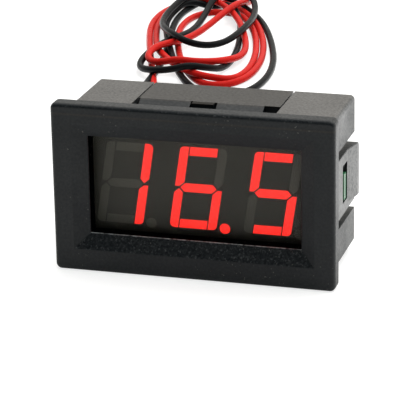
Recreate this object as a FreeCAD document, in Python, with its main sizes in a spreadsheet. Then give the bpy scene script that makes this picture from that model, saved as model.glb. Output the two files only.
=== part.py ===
import FreeCAD, Part
import math
import os
import re
import Sketcher

# Small LED voltmeter that snaps into a panel. Millimetres, Z up, the display faces -Y.
# The origin is under the middle of the meter, at the foot of its bezel.
# "depth" is measured from the bezel's front face towards the back.

SIZES = (
    ("bezel_width", 48.0, "across the bezel"),
    ("bezel_height", 29.0, "bezel from foot to top"),
    ("bezel_thickness", 2.8, "front face to the face that lies on the panel"),
    ("bezel_corner", 1.0, "radius of the bezel's four corners"),
    ("bezel_round", 0.7, "rounding of the bezel's front rim"),
    ("bezel_back_round", 0.25, "rounding of the bezel's back rim"),
    ("overall_depth", 21.0, "front face to the open back"),
    ("body_width", 45.0, "across the body behind the panel"),
    ("body_height", 26.0, "height of the body"),
    ("body_drop", 0.25, "body centre below the bezel's centre"),
    ("body_corner", 0.8, "radius of the body's four corners"),
    ("wall", 1.3, "wall of the body"),
    ("front_wall", 4.0, "depth of the inner face that the filter lies on"),
    ("window_side_lap", 0.75, "display beyond the window at each side"),
    ("window_end_lap", 1.05, "display beyond the window above and below"),
    ("window_rise", 0.35, "window centre above the bezel's centre"),
    ("slope_run", 2.5, "width of the sloped frame round the window"),
    ("slope_depth", 1.5, "depth of the window's lip"),
    ("lip_round", 0.15, "rounding of the window's lip"),
    ("flap_left", -12.5, "left side of the opening round the flap"),
    ("flap_right", 12.3, "right side of the opening round the flap"),
    ("flap_cut", 0.3, "width of the cuts beside the flap"),
    ("flap_front", 11.7, "depth of the flap's front edge"),
    ("tongue_front", 10.4, "depth of the flap's middle tongue"),
    ("tongue_side", 0.4, "gap beside the tongue"),
    ("web_one_left", -12.0, "left web"),
    ("web_one_right", -3.2, "left web"),
    ("web_two_left", 1.35, "right web"),
    ("web_two_right", 9.4, "right web"),
    ("web_thickness", 1.1, "webs that carry the flap"),
    ("web_drop", 2.0, "webs below the flap at the front wall"),
    ("web_bend", 8.2, "depth where the webs start to climb"),
    ("hook_reach", 0.7, "hook under the flap that holds the board"),
    ("hook_length", 1.3, "hook along the depth"),
    ("hook_width", 6.0, "width of the hook"),
    ("arm_height", 10.4, "height of the side spring arms"),
    ("arm_gap", 1.5, "cuts above and below an arm"),
    ("arm_root", 7.0, "depth where the arms leave the wall"),
    ("arm_slot_front", 12.2, "depth of the slot in the arm"),
    ("arm_slot_height", 6.5, "slot in the arm"),
    ("slot_clear", 0.15, "slot behind the board's tab"),
    ("latch_proud", 0.8, "how far the arm's latch stands out of the wall"),
    ("latch_behind", 0.45, "latch behind the arm's slot"),
    ("latch_crest", 1.2, "level crest of the latch at its rear"),
    ("latch_foot", 1.1, "latch above the arm's lower edge"),
    ("arm_corner", 1.3, "rounding of the arm's upper rear corner"),
    ("post_width", 1.9, "posts that the board rests on"),
    ("post_height", 2.4, "posts that the board rests on"),
    ("filter_margin", 0.7, "filter beyond the window's edge"),
    ("filter_thickness", 1.0, "smoked filter"),
    ("filter_gap", 0.2, "filter to display"),
    ("display_side_gap", 2.4, "display case to the housing's side wall"),
    ("display_end_gap", 2.2, "display case to the housing's upper and lower wall"),
    ("display_depth", 8.0, "display case"),
    ("display_drop", 0.2, "display centre below the bezel's centre"),
    ("face_plate", 1.2, "front plate of the display case"),
    ("case_wall", 1.0, "side wall of the display case"),
    ("foot_height", 0.5, "feet between display and board"),
    ("potting_sink", 0.3, "potting below the case's rear rim"),
    ("digit_rim", 2.4, "display case beyond the digits above and below"),
    ("digit_end", 2.05, "display case beyond the outer digits"),
    ("digit_gap", 4.6, "between digits, where the decimal point is"),
    ("digit_shift", -0.3, "middle digit from the meter's middle"),
    ("digit_slant", 9.0, "lean of the digits in degrees"),
    ("segment_width", 1.5, "stroke of a segment"),
    ("segment_gap", 0.2, "between segments"),
    ("segment_corner", 0.8, "rounded outer corners of a digit"),
    ("point_radius", 0.9, "decimal point"),
    ("point_aside", 1.45, "decimal point's centre beyond its digit"),
    ("point_lift", 0.4, "decimal point's centre above its digit's foot"),
    ("pin_side", 0.5, "display pin"),
    ("pin_pitch", 2.54, "between pins"),
    ("pin_rows", 15.24, "between the two rows of pins"),
    ("pin_count", 6, "pins in a row"),
    ("pin_stand", 1.0, "pin beyond the board"),
    ("pin_hole", 0.45, "radius of the board's pin holes"),
    ("solder_radius", 0.85, "solder cone at its foot"),
    ("solder_neck", 0.375, "radius of the solder cone where it meets the pin's end"),
    ("solder_height", 0.7, "solder cone"),
    ("board_thickness", 1.6, "circuit board"),
    ("board_clear", 0.2, "board to the body's inner walls"),
    ("tab_height", 4.5, "board tab in the arm's slot"),
    ("tab_drop", 0.9, "tab centre below the body's centre"),
    ("tab_inset", 0.15, "tab end inside the body's side face"),
    ("chip_length", 9.9, "microcontroller package"),
    ("chip_height", 3.9, "microcontroller package"),
    ("chip_stand", 0.15, "package above the board"),
    ("chip_thickness", 1.5, "microcontroller package"),
    ("chip_chamfer", 0.25, "package edges"),
    ("chip_aside", 2.0, "package centre from the meter's middle"),
    ("chip_rise", 0.3, "package centre above the display's middle"),
    ("leg_pitch", 1.27, "between the package's legs"),
    ("leg_count", 8, "legs on a side"),
    ("leg_width", 0.42, "leg"),
    ("leg_thickness", 0.22, "leg"),
    ("leg_reach", 1.05, "leg beyond the package"),
    ("leg_shoulder", 0.42, "level part of a leg beyond the package"),
    ("leg_slope", 0.16, "sloping part of a leg"),
    ("regulator_shift", 1.9, "regulator left of the middle between its neighbours"),
    ("regulator_rise", 0.9, "regulator above the display's middle"),
    ("regulator_width", 4.5, "regulator package"),
    ("regulator_height", 2.5, "regulator package"),
    ("regulator_thickness", 1.5, "regulator package"),
    ("diode_inset", 6.5, "diode centre from the body's side"),
    ("diode_rise", 6.0, "diode above the display's middle"),
    ("diode_width", 4.3, "diode package"),
    ("diode_height", 2.6, "diode package"),
    ("diode_thickness", 1.9, "diode package"),
    ("tantalum_inset", 7.1, "tantalum capacitor centre from the body's side"),
    ("tantalum_rise", 0.3, "tantalum capacitor above the display's middle"),
    ("tantalum_width", 3.5, "tantalum capacitor"),
    ("tantalum_height", 2.8, "tantalum capacitor"),
    ("tantalum_thickness", 1.8, "tantalum capacitor"),
    ("chip_part_long", 1.2, "chip resistor or capacitor between its ends"),
    ("chip_part_wide", 1.25, "chip resistor or capacitor"),
    ("chip_end", 0.4, "soldered end of a chip part"),
    ("resistor_thickness", 0.5, "chip resistor"),
    ("capacitor_thickness", 0.9, "chip capacitor"),
    ("resistor_pitch", 1.9, "between the segment resistors"),
    ("resistor_drop", 4.6, "segment resistors below the display's middle"),
    ("divider_pitch", 2.0, "between the divider's resistors"),
    ("divider_drop", 4.3, "divider's resistors below the trimmer"),
    ("filter_cap_aside", 1.6, "input capacitor from the regulator's middle"),
    ("filter_cap_drop", 4.6, "input capacitor below the regulator"),
    ("output_cap_aside", 1.2, "output capacitor from the regulator's middle"),
    ("output_cap_rise", 4.4, "output capacitor above the regulator"),
    ("supply_cap_aside", 3.0, "supply capacitor from the controller's middle"),
    ("supply_cap_rise", 4.9, "supply capacitor above the controller"),
    ("trimmer_inset", 7.9, "trimmer centre from the body's side"),
    ("trimmer_rise", 3.3, "trimmer above the display's middle"),
    ("trimmer_side", 4.2, "trimmer base"),
    ("trimmer_thickness", 1.9, "trimmer base"),
    ("trimmer_well", 1.55, "radius of the base's round well"),
    ("trimmer_well_depth", 1.1, "depth of the well"),
    ("rotor_clear", 0.12, "rotor in its well"),
    ("rotor_stand", 0.15, "rotor above the base"),
    ("rotor_pin", 0.5, "radius of the rotor's pin"),
    ("rotor_slot", 0.45, "width of the driver slot"),
    ("rotor_slot_rim", 0.43, "rotor left beyond the ends of the driver slot"),
    ("rotor_slot_depth", 0.5, "depth of the driver slot"),
    ("lead_diameter", 1.5, "insulated wire"),
    ("lead_pad_drop", 6.3, "solder pads of the wires below the display's middle"),
    ("red_pad_inset", 9.5, "red wire's pad from the body's side"),
    ("black_pad_inset", 5.5, "black wire's pad from the body's side"),
    ("pad_solder_radius", 1.35, "solder at a wire's pad"),
    ("pad_solder_neck", 0.6, "radius of the solder where it meets the wire"),
    ("pad_solder_height", 1.0, "solder at a wire's pad"),
    ("coil_aside", 21.9, "middle of the coil from the black wire's pad"),
    ("coil_behind", 123.1, "middle of the coil behind the meter's open back"),
    ("coil_turn", 16.4, "coil's long axis from the depth axis in degrees"),
    ("coil_half_length", 41.0, "coil"),
    ("coil_half_width", 14.5, "coil"),
    ("coil_height", 5.2, "coil where its loops lie on one another"),
    ("coil_round", 1.4, "rounded rim of the coil"),
    ("coil_clear", 0.2, "between a wire's tube and the coil's outer shape"),
    ("red_across", -9.5, "where the red wire joins the coil, from its long axis"),
    ("black_across", -12.6, "where the black wire joins the coil, from its long axis"),
    ("tip_diameter", 0.8, "tinned end of a wire"),
    ("tip_length", 6.0, "tinned end of a wire"),
    ("red_tip_across", 11.0, "red wire's tinned end from the coil's long axis"),
    ("black_tip_across", 4.0, "black wire's tinned end from the coil's long axis"),
)

doc = FreeCAD.newDocument("panel_meter")
sheet = doc.addObject("Spreadsheet::Sheet", "Sizes")
for row, (alias, value, meaning) in enumerate(SIZES, start=1):
    sheet.set("A%d" % row, alias)
    sheet.set("B%d" % row, str(value))
    sheet.set("C%d" % row, meaning)
    sheet.setAlias("B%d" % row, alias)
doc.recompute()


def mm(expression):
    """The value of a cell of the sheet, or of an expression of its aliases."""
    return float(sheet.evalExpression(expression))


def tied(expression):
    """An expression of the sheet's aliases, as the document reads it."""
    return re.sub(r"[a-z]\w*", lambda word: "Sizes." + word.group(), expression)


# Expressions that several pieces share

BODY_MID = "bezel_height / 2 - body_drop"
BODY_TOP = "bezel_height / 2 - body_drop + body_height / 2"
BODY_FOOT = "bezel_height / 2 - body_drop - body_height / 2"
DISPLAY_MID = "bezel_height / 2 - display_drop"
DISPLAY_HALF = "(body_width / 2 - wall - display_side_gap)"
DISPLAY_RISE = "(body_height / 2 - wall - display_end_gap)"
WINDOW_MID = "bezel_height / 2 + window_rise"
WINDOW_HALF = "(body_width / 2 - wall - display_side_gap - window_side_lap)"
WINDOW_RISE = "(body_height / 2 - wall - display_end_gap - window_end_lap)"
DISPLAY_FRONT = "front_wall + filter_thickness + filter_gap"
BOARD_FRONT = "front_wall + filter_thickness + filter_gap + display_depth + foot_height"
BOARD_BACK = BOARD_FRONT + " + board_thickness"
CHIP_X = "chip_aside"
CHIP_Z = DISPLAY_MID + " + chip_rise"
TANTALUM_X = "(tantalum_inset - body_width / 2)"
TANTALUM_Z = DISPLAY_MID + " + tantalum_rise"
DIODE_X = "(diode_inset - body_width / 2)"
DIODE_Z = DISPLAY_MID + " + diode_rise"
REGULATOR_X = "((tantalum_inset - body_width / 2 + chip_aside) / 2 - regulator_shift)"
REGULATOR_Z = DISPLAY_MID + " + regulator_rise"
TRIMMER_X = "(body_width / 2 - trimmer_inset)"
TRIMMER_Z = DISPLAY_MID + " + trimmer_rise"
RED_PAD_X = "(red_pad_inset - body_width / 2)"
BLACK_PAD_X = "(black_pad_inset - body_width / 2)"


def depth_to_y(depth):
    """Turns a depth behind the front face into a place along Y, as an expression."""
    return "(%s) - overall_depth / 2" % depth


# The same places as numbers, for the pieces that are shapes of their own

FRONT_Y = mm("-overall_depth / 2")
BODY_MID_Z = mm(BODY_MID)
DISPLAY_MID_Z = mm(DISPLAY_MID)
DISPLAY_FRONT_Y = mm(depth_to_y(DISPLAY_FRONT))
BOARD_BACK_Y = mm(depth_to_y(BOARD_BACK))
DIGIT_WIDTH = (2 * mm(DISPLAY_HALF) - 2 * mm("digit_gap") - 2 * mm("digit_end")) / 3
DIGIT_HEIGHT = 2 * mm(DISPLAY_RISE) - 2 * mm("digit_rim")
LEAD_PAD_Z = DISPLAY_MID_Z - mm("lead_pad_drop")
COIL_X = mm(BLACK_PAD_X) - mm("coil_aside")
COIL_Y = mm("overall_depth / 2") + mm("coil_behind")


# Helpers for bodies, sketches and features

def new_body(label):
    body = doc.addObject("PartDesign::Body", label)
    body.Label = label
    body.AllowCompound = True
    return body


def new_sketch(body, name, role, offset="0"):
    """A sketch on one of the body's origin planes, moved along its normal."""
    sketch = body.newObject("Sketcher::SketchObject", name)
    plane = [item for item in body.Origin.OriginFeatures if item.Role == role][0]
    sketch.AttachmentSupport = [(plane, "")]
    sketch.MapMode = "FlatFace"
    sketch.setExpression("AttachmentOffset.Base.z", tied(offset))
    return sketch


def sketch_at_depth(body, name, depth):
    """A sketch that faces the front, at a depth behind the front face."""
    return new_sketch(body, name, "XZ_Plane", "overall_depth / 2 - (%s)" % depth)


def bind(sketch, kind, geometry, place, value, expression):
    constraint = Sketcher.Constraint(kind, -1, 1, geometry, place, value)
    index = sketch.addConstraint(constraint)
    sketch.setExpression("Constraints[%d]" % index, tied(expression))


def outline(sketch, corners):
    """A closed polygon whose corners are pairs of expressions."""
    first = sketch.GeometryCount
    count = len(corners)
    turn = 2 * math.pi / count
    start = [FreeCAD.Vector(9 * math.cos(turn * i + 0.3), 9 * math.sin(turn * i + 0.3), 0)
             for i in range(count)]
    sketch.addGeometry([Part.LineSegment(start[i], start[(i + 1) % count]) for i in range(count)])
    sketch.addConstraint([Sketcher.Constraint("Coincident", first + i, 2, first + (i + 1) % count, 1)
                          for i in range(count)])
    for i, (across, along) in enumerate(corners):
        bind(sketch, "DistanceX", first + i, 1, start[i].x, across)
        bind(sketch, "DistanceY", first + i, 1, start[i].y, along)


def rectangle(sketch, left, right, low, high):
    outline(sketch, ((left, low), (right, low), (right, high), (left, high)))


def circle(sketch, across, along, radius):
    index = sketch.addGeometry(Part.Circle(FreeCAD.Vector(1, 1, 0), FreeCAD.Vector(0, 0, 1), 1))
    bind(sketch, "DistanceX", index, 3, 1, across)
    bind(sketch, "DistanceY", index, 3, 1, along)
    size = sketch.addConstraint(Sketcher.Constraint("Radius", index, 1))
    sketch.setExpression("Constraints[%d]" % size, tied(radius))


def pad(body, name, sketch, length, backwards=False):
    feature = body.newObject("PartDesign::Pad", name)
    feature.Profile = sketch
    feature.setExpression("Length", tied(length))
    feature.Reversed = backwards
    return feature


def pocket(body, name, sketch, length=None, backwards=False):
    """A pocket of a given depth, or through all on both sides."""
    feature = body.newObject("PartDesign::Pocket", name)
    feature.Profile = sketch
    if length is None:
        feature.Type = "ThroughAll"
        feature.Midplane = True
    else:
        feature.setExpression("Length", tied(length))
        feature.Reversed = backwards
    return feature


def round_edges(body, name, radius, wanted):
    """Fillets the edges of the body's last feature for which wanted says yes."""
    doc.recompute()
    base = body.Tip
    names = ["Edge%d" % number for number, edge in enumerate(base.Shape.Edges, start=1) if wanted(edge)]
    feature = body.newObject("PartDesign::Fillet", name)
    feature.Base = (base, names)
    feature.setExpression("Radius", tied(radius))
    return feature


def near(one, other, slack=0.01):
    return abs(one - other) < slack


def runs_along_y(edge):
    box = edge.BoundBox
    return box.XLength < 0.01 and box.ZLength < 0.01


def lies_in_front_plane(edge, place):
    box = edge.BoundBox
    return near(box.YMin, place) and near(box.YMax, place)


# Housing: one moulding with bezel, body, two flaps on webs, two spring arms and the board's posts

def build_housing():
    body = new_body("housing")
    add_bezel_and_body(body)
    cut_cavity_and_window(body)
    cut_flap_openings(body)
    add_flaps(body)
    add_arms(body)
    add_posts(body)
    return body


def add_bezel_and_body(body):
    face = sketch_at_depth(body, "bezel_outline", "0")
    rectangle(face, "-bezel_width / 2", "bezel_width / 2", "0", "bezel_height")
    pad(body, "bezel", face, "bezel_thickness", backwards=True)
    round_edges(body, "bezel_corners", "bezel_corner", runs_along_y)
    round_edges(body, "bezel_rim", "bezel_round", lambda edge: lies_in_front_plane(edge, FRONT_Y))
    back = FRONT_Y + mm("bezel_thickness")
    round_edges(body, "bezel_back_rim", "bezel_back_round", lambda edge: lies_in_front_plane(edge, back))
    tube = sketch_at_depth(body, "body_outline", "bezel_thickness")
    rectangle(tube, "-body_width / 2", "body_width / 2", BODY_FOOT, BODY_TOP)
    pad(body, "body_block", tube, "overall_depth - bezel_thickness", backwards=True)
    round_edges(body, "body_corners", "body_corner",
                lambda edge: runs_along_y(edge) and near(abs(edge.BoundBox.XMin), mm("body_width") / 2))


def cut_cavity_and_window(body):
    hollow = sketch_at_depth(body, "cavity_outline", "overall_depth")
    rectangle(hollow, "wall - body_width / 2", "body_width / 2 - wall",
              BODY_FOOT + " + wall", BODY_TOP + " - wall")
    pocket(body, "cavity", hollow, "overall_depth - front_wall", backwards=True)
    slope_start = sketch_at_depth(body, "slope_start", "0")
    rectangle(slope_start, "-" + WINDOW_HALF + " - slope_run", WINDOW_HALF + " + slope_run",
              WINDOW_MID + " - " + WINDOW_RISE + " - slope_run",
              WINDOW_MID + " + " + WINDOW_RISE + " + slope_run")
    slope_end = sketch_at_depth(body, "slope_end", "slope_depth")
    rectangle(slope_end, "-" + WINDOW_HALF, WINDOW_HALF,
              WINDOW_MID + " - " + WINDOW_RISE, WINDOW_MID + " + " + WINDOW_RISE)
    slope = body.newObject("PartDesign::SubtractiveLoft", "window_slope")
    slope.Profile = slope_start
    slope.Sections = [slope_end]
    slope.Ruled = True
    opening = sketch_at_depth(body, "window_outline", "0")
    rectangle(opening, "-" + WINDOW_HALF, WINDOW_HALF,
              WINDOW_MID + " - " + WINDOW_RISE, WINDOW_MID + " + " + WINDOW_RISE)
    pocket(body, "window", opening, "front_wall")
    lip = FRONT_Y + mm("slope_depth")
    round_edges(body, "window_lip", "lip_round", lambda edge: lies_in_front_plane(edge, lip))


def cut_flap_openings(body):
    """One cut from above opens the top and the bottom wall alike."""
    opening = new_sketch(body, "flap_opening", "XY_Plane", BODY_MID)
    rectangle(opening, "flap_left", "flap_right", depth_to_y("front_wall"), depth_to_y("overall_depth"))
    pocket(body, "flap_openings", opening)


def add_flaps(body):
    """The flap on each side hangs on two webs that climb from the front wall."""
    sides = (("upper", BODY_TOP, "-1"), ("lower", BODY_FOOT, "1"))
    for side, skin, inward in sides:
        flap = new_sketch(body, side + "_flap_outline", "XY_Plane",
                          skin if side == "upper" else skin + " + wall")
        left = "flap_left + flap_cut"
        right = "flap_right - flap_cut"
        tongue_left = "web_one_right + tongue_side"
        tongue_right = "web_two_left - tongue_side"
        front = depth_to_y("flap_front")
        tongue = depth_to_y("tongue_front")
        rear = depth_to_y("overall_depth")
        outline(flap, ((left, front), (tongue_left, front), (tongue_left, tongue), (tongue_right, tongue),
                       (tongue_right, front), (right, front), (right, rear), (left, rear)))
        pad(body, side + "_flap", flap, "wall", backwards=True)
        for web in ("web_one", "web_two"):
            profile = new_sketch(body, side + "_" + web + "_profile", "YZ_Plane", web + "_left")
            low = "%s + (%s) * web_drop" % (skin, inward)
            under = "%s + (%s) * (web_drop + web_thickness)" % (skin, inward)
            outline(profile, (
                (depth_to_y("front_wall"), low),
                (depth_to_y("web_bend"), low),
                (depth_to_y("flap_front"), skin),
                (depth_to_y("flap_front"), "%s + (%s) * wall" % (skin, inward)),
                (depth_to_y("web_bend + web_thickness / 2"), under),
                (depth_to_y("front_wall"), under)))
            pad(body, side + "_" + web, profile, web + "_right - " + web + "_left")
        hook = new_sketch(body, side + "_hook_profile", "YZ_Plane", "-hook_width / 2")
        inside = "%s + (%s) * wall" % (skin, inward)
        catch = depth_to_y(BOARD_BACK + " + slot_clear")
        outline(hook, (
            (catch, inside),
            (depth_to_y(BOARD_BACK + " + slot_clear + hook_length"), inside),
            (catch, "%s + (%s) * (wall + hook_reach)" % (skin, inward))))
        pad(body, side + "_hook", hook, "hook_width")


def add_arms(body):
    """Each side wall has a spring arm between two cuts, with a slot for the board's tab."""
    opening = new_sketch(body, "arm_opening", "YZ_Plane")
    rectangle(opening, depth_to_y("arm_root"), depth_to_y("overall_depth"),
              BODY_MID + " - arm_height / 2 - arm_gap", BODY_MID + " + arm_height / 2 + arm_gap")
    pocket(body, "arm_openings", opening)
    arms = new_sketch(body, "arm_outlines", "XY_Plane", BODY_MID + " - arm_height / 2")
    latches = new_sketch(body, "latch_outlines", "XY_Plane", BODY_MID + " - arm_height / 2 + latch_foot")
    root = depth_to_y("arm_root")
    rise = depth_to_y(BOARD_BACK + " + slot_clear + latch_behind")
    crest = depth_to_y("overall_depth - latch_crest")
    end = depth_to_y("overall_depth")
    for sign in ("1", "-1"):
        inside = "(%s) * (body_width / 2 - wall)" % sign
        outside = "(%s) * body_width / 2" % sign
        proud = "(%s) * (body_width / 2 + latch_proud)" % sign
        outline(arms, ((inside, root), (outside, root), (outside, end), (inside, end)))
        outline(latches, ((outside, rise), (proud, crest), (proud, end), (outside, end)))
    pad(body, "arms", arms, "arm_height")
    pad(body, "latches", latches, "arm_height - latch_foot")
    rear = mm("overall_depth / 2")
    top = BODY_MID_Z + mm("arm_height") / 2

    def upper_corner(edge):
        box = edge.BoundBox
        outwards = near(box.YMin, rear) and near(box.YMax, rear) and box.XLength > mm("wall") / 2
        return outwards and near(box.ZMin, top) and near(box.ZMax, top) and box.XLength < 3 * mm("wall")

    round_edges(body, "arm_corners", "arm_corner", upper_corner)
    slot = new_sketch(body, "arm_slot_outline", "YZ_Plane")
    rectangle(slot, depth_to_y("arm_slot_front"), depth_to_y(BOARD_BACK + " + slot_clear"),
              BODY_MID + " - arm_slot_height / 2", BODY_MID + " + arm_slot_height / 2")
    pocket(body, "arm_slots", slot)


def add_posts(body):
    """Four posts in the corners carry the board."""
    posts = sketch_at_depth(body, "post_outlines", "front_wall")
    side_in = "body_width / 2 - wall - post_width"
    side_out = "body_width / 2 - wall"
    for sign in ("1", "-1"):
        left = "(%s) * (%s)" % (sign, side_in if sign == "1" else side_out)
        right = "(%s) * (%s)" % (sign, side_out if sign == "1" else side_in)
        rectangle(posts, left, right, BODY_FOOT + " + wall", BODY_FOOT + " + wall + post_height")
        rectangle(posts, left, right, BODY_TOP + " - wall - post_height", BODY_TOP + " - wall")
    pad(body, "posts", posts, BOARD_FRONT + " - front_wall", backwards=True)


# Filter and circuit board

def build_filter():
    body = new_body("display_filter")
    plate = sketch_at_depth(body, "filter_outline", "front_wall")
    half = "(" + WINDOW_HALF + " + filter_margin)"
    rise = "(" + WINDOW_RISE + " + filter_margin)"
    rectangle(plate, "-" + half, half, WINDOW_MID + " - " + rise, WINDOW_MID + " + " + rise)
    pad(body, "filter_plate", plate, "filter_thickness", backwards=True)
    return body


def build_board():
    body = new_body("circuit_board")
    plate = sketch_at_depth(body, "board_outline", BOARD_FRONT)
    side = "(body_width / 2 - wall - board_clear)"
    tab = "(body_width / 2 - tab_inset)"
    low = BODY_FOOT + " + wall + board_clear"
    high = BODY_TOP + " - wall - board_clear"
    tab_low = BODY_MID + " - tab_drop - tab_height / 2"
    tab_high = BODY_MID + " - tab_drop + tab_height / 2"
    outline(plate, (
        ("-" + side, low), (side, low), (side, tab_low), (tab, tab_low), (tab, tab_high), (side, tab_high),
        (side, high), ("-" + side, high), ("-" + side, tab_high), ("-" + tab, tab_high),
        ("-" + tab, tab_low), ("-" + side, tab_low)))
    pad(body, "board_plate", plate, "board_thickness", backwards=True)
    holes = sketch_at_depth(body, "pin_holes_outline", BOARD_FRONT)
    for column in range(int(mm("pin_count"))):
        across = "(%d - (pin_count - 1) / 2) * pin_pitch" % column
        circle(holes, across, DISPLAY_MID + " - pin_rows / 2", "pin_hole")
        circle(holes, across, DISPLAY_MID + " + pin_rows / 2", "pin_hole")
    pocket(body, "pin_holes", holes, "board_thickness")
    return body


# Display: case with segment windows, segments, potting, pins and solder

def digit_point(digit, across, up):
    """A point of a digit's own upright frame, slanted and set in the meter's frame."""
    lean = math.tan(math.radians(mm("digit_slant")))
    middle = mm("digit_shift") + (digit - 2) * (DIGIT_WIDTH + mm("digit_gap"))
    return FreeCAD.Vector(middle + across + up * lean, DISPLAY_FRONT_Y, DISPLAY_MID_Z + up)


def rounded_loop(points, radii):
    """A closed wire through the points, with an arc of the given radius at each."""
    edges = []
    ends = []
    count = len(points)
    for i, point in enumerate(points):
        into = (point - points[i - 1]).normalize()
        out = (points[(i + 1) % count] - point).normalize()
        if radii[i] == 0:
            ends.append((point, point))
            continue
        turn = into.getAngle(out)
        reach = radii[i] * math.tan(turn / 2)
        first = point - into * reach
        last = point + out * reach
        inward = (out - into).normalize()
        middle = point + inward * (radii[i] / math.cos(turn / 2) - radii[i])
        ends.append((first, last))
        edges.append(Part.Arc(first, middle, last).toShape())
    for i in range(count):
        start = ends[i][1]
        stop = ends[(i + 1) % count][0]
        edges.append(Part.LineSegment(start, stop).toShape())
    return Part.Wire(Part.__sortEdges__(edges))


def segment_corners():
    """The outline of each segment in a digit's upright frame, with the radius of each corner."""
    half = DIGIT_WIDTH / 2
    top = DIGIT_HEIGHT / 2
    stroke = mm("segment_width")
    gap = mm("segment_gap")
    corner = mm("segment_corner")
    inner = half - stroke
    bar = ((-inner + gap, top), (inner - gap, top), (inner - gap, top - stroke), (-inner + gap, top - stroke))
    blunt = ((-half, top), (-inner, top), (-inner, stroke / 2 + gap), (-half + stroke / 2, gap), (-half, gap))
    sharp = ((half, top), (half, stroke / 2 + gap), (half - stroke / 2, gap), (inner, stroke / 2 + gap),
             (inner, top))
    middle = ((-half + stroke / 2 + gap, 0), (-inner + gap, stroke / 2), (inner - gap, stroke / 2),
              (half - stroke / 2 - gap, 0), (inner - gap, -stroke / 2), (-inner + gap, -stroke / 2))

    def turned(points):
        return tuple((-across, -up) for across, up in points)

    first_round = (corner, 0, 0, 0, 0)
    return {
        "a": (bar, (0, 0, 0, 0)),
        "d": (turned(bar), (0, 0, 0, 0)),
        "f": (blunt, first_round),
        "c": (turned(blunt), first_round),
        "b": (sharp, first_round),
        "e": (turned(sharp), first_round),
        "g": (middle, (0, 0, 0, 0, 0, 0)),
    }


def segment_solid(digit, name):
    """A segment or decimal point as a light pipe through the case's front plate."""
    if name == "p":
        centre = digit_point(digit, DIGIT_WIDTH / 2 + mm("point_aside"), mm("point_lift") - DIGIT_HEIGHT / 2)
        return Part.makeCylinder(mm("point_radius"), mm("face_plate"), centre, FreeCAD.Vector(0, 1, 0))
    corners, radii = segment_corners()[name]
    loop = rounded_loop([digit_point(digit, across, up) for across, up in corners], radii)
    return Part.Face(loop).extrude(FreeCAD.Vector(0, mm("face_plate"), 0))


LIT = {1: "bc", 2: "acdefgp", 3: "acdfg"}
ALL_SEGMENTS = "abcdefgp"


def add_shape(label, shape):
    feature = doc.addObject("Part::Feature", label)
    feature.Label = label
    feature.Shape = shape
    return feature


def build_digits():
    pieces = []
    for digit, lit in LIT.items():
        dark = "".join(name for name in ALL_SEGMENTS if name not in lit)
        for state, names in (("lit", lit), ("dark", dark)):
            solids = [segment_solid(digit, name) for name in names]
            pieces.append(add_shape("digit_%d_%s" % (digit, state), Part.makeCompound(solids)))
    return pieces


def build_display_case(digits):
    """The case is a deep tray, open at the back, whose plate is cut by the segments."""
    tray = new_body("display_tray")
    block = sketch_at_depth(tray, "case_outline", DISPLAY_FRONT)
    low = DISPLAY_MID + " - " + DISPLAY_RISE
    high = DISPLAY_MID + " + " + DISPLAY_RISE
    rectangle(block, "-" + DISPLAY_HALF, DISPLAY_HALF, low, high)
    pad(tray, "case_block", block, "display_depth", backwards=True)
    hollow = sketch_at_depth(tray, "case_hollow_outline", DISPLAY_FRONT + " + display_depth")
    rectangle(hollow, "case_wall - " + DISPLAY_HALF, DISPLAY_HALF + " - case_wall",
              low + " + case_wall", high + " - case_wall")
    pocket(tray, "case_hollow", hollow, "display_depth - face_plate", backwards=True)
    feet = sketch_at_depth(tray, "foot_outlines", DISPLAY_FRONT + " + display_depth")
    for left, right in (("-" + DISPLAY_HALF, "case_wall - " + DISPLAY_HALF),
                        (DISPLAY_HALF + " - case_wall", DISPLAY_HALF)):
        rectangle(feet, left, right, low, low + " + case_wall")
        rectangle(feet, left, right, high + " - case_wall", high)
    pad(tray, "feet", feet, "foot_height", backwards=True)
    openings = doc.addObject("Part::Compound", "segment_openings")
    openings.Links = digits
    case = doc.addObject("Part::Cut", "display_case")
    case.Label = "display_case"
    case.Base = tray
    case.Tool = openings
    return case


def build_potting():
    body = new_body("display_potting")
    fill = sketch_at_depth(body, "potting_outline", DISPLAY_FRONT + " + face_plate")
    rectangle(fill, "case_wall - " + DISPLAY_HALF, DISPLAY_HALF + " - case_wall",
              DISPLAY_MID + " - " + DISPLAY_RISE + " + case_wall",
              DISPLAY_MID + " + " + DISPLAY_RISE + " - case_wall")
    pad(body, "potting_fill", fill, "display_depth - face_plate - potting_sink", backwards=True)
    return body


def pin_places():
    for column in range(int(mm("pin_count"))):
        across = (column - (mm("pin_count") - 1) / 2) * mm("pin_pitch")
        for row in (-1, 1):
            yield across, DISPLAY_MID_Z + row * mm("pin_rows") / 2


def build_pins():
    side = mm("pin_side")
    start = DISPLAY_FRONT_Y + mm("display_depth") - mm("potting_sink")
    length = BOARD_BACK_Y + mm("pin_stand") - start
    pins = [Part.makeBox(side, length, side, FreeCAD.Vector(x - side / 2, start, z - side / 2))
            for x, z in pin_places()]
    return add_shape("display_pins", Part.makeCompound(pins))


def build_pin_solder():
    side = mm("pin_side")
    cones = []
    for x, z in pin_places():
        foot = FreeCAD.Vector(x, BOARD_BACK_Y, z)
        cone = Part.makeCone(mm("solder_radius"), mm("solder_neck"), mm("solder_height"), foot,
                             FreeCAD.Vector(0, 1, 0))
        hole = Part.makeBox(side, 2 * mm("solder_height"), side,
                            FreeCAD.Vector(x - side / 2, BOARD_BACK_Y - mm("solder_height") / 2, z - side / 2))
        cones.append(cone.cut(hole))
    return add_shape("pin_solder", Part.makeCompound(cones))


# Parts on the back of the board

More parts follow.
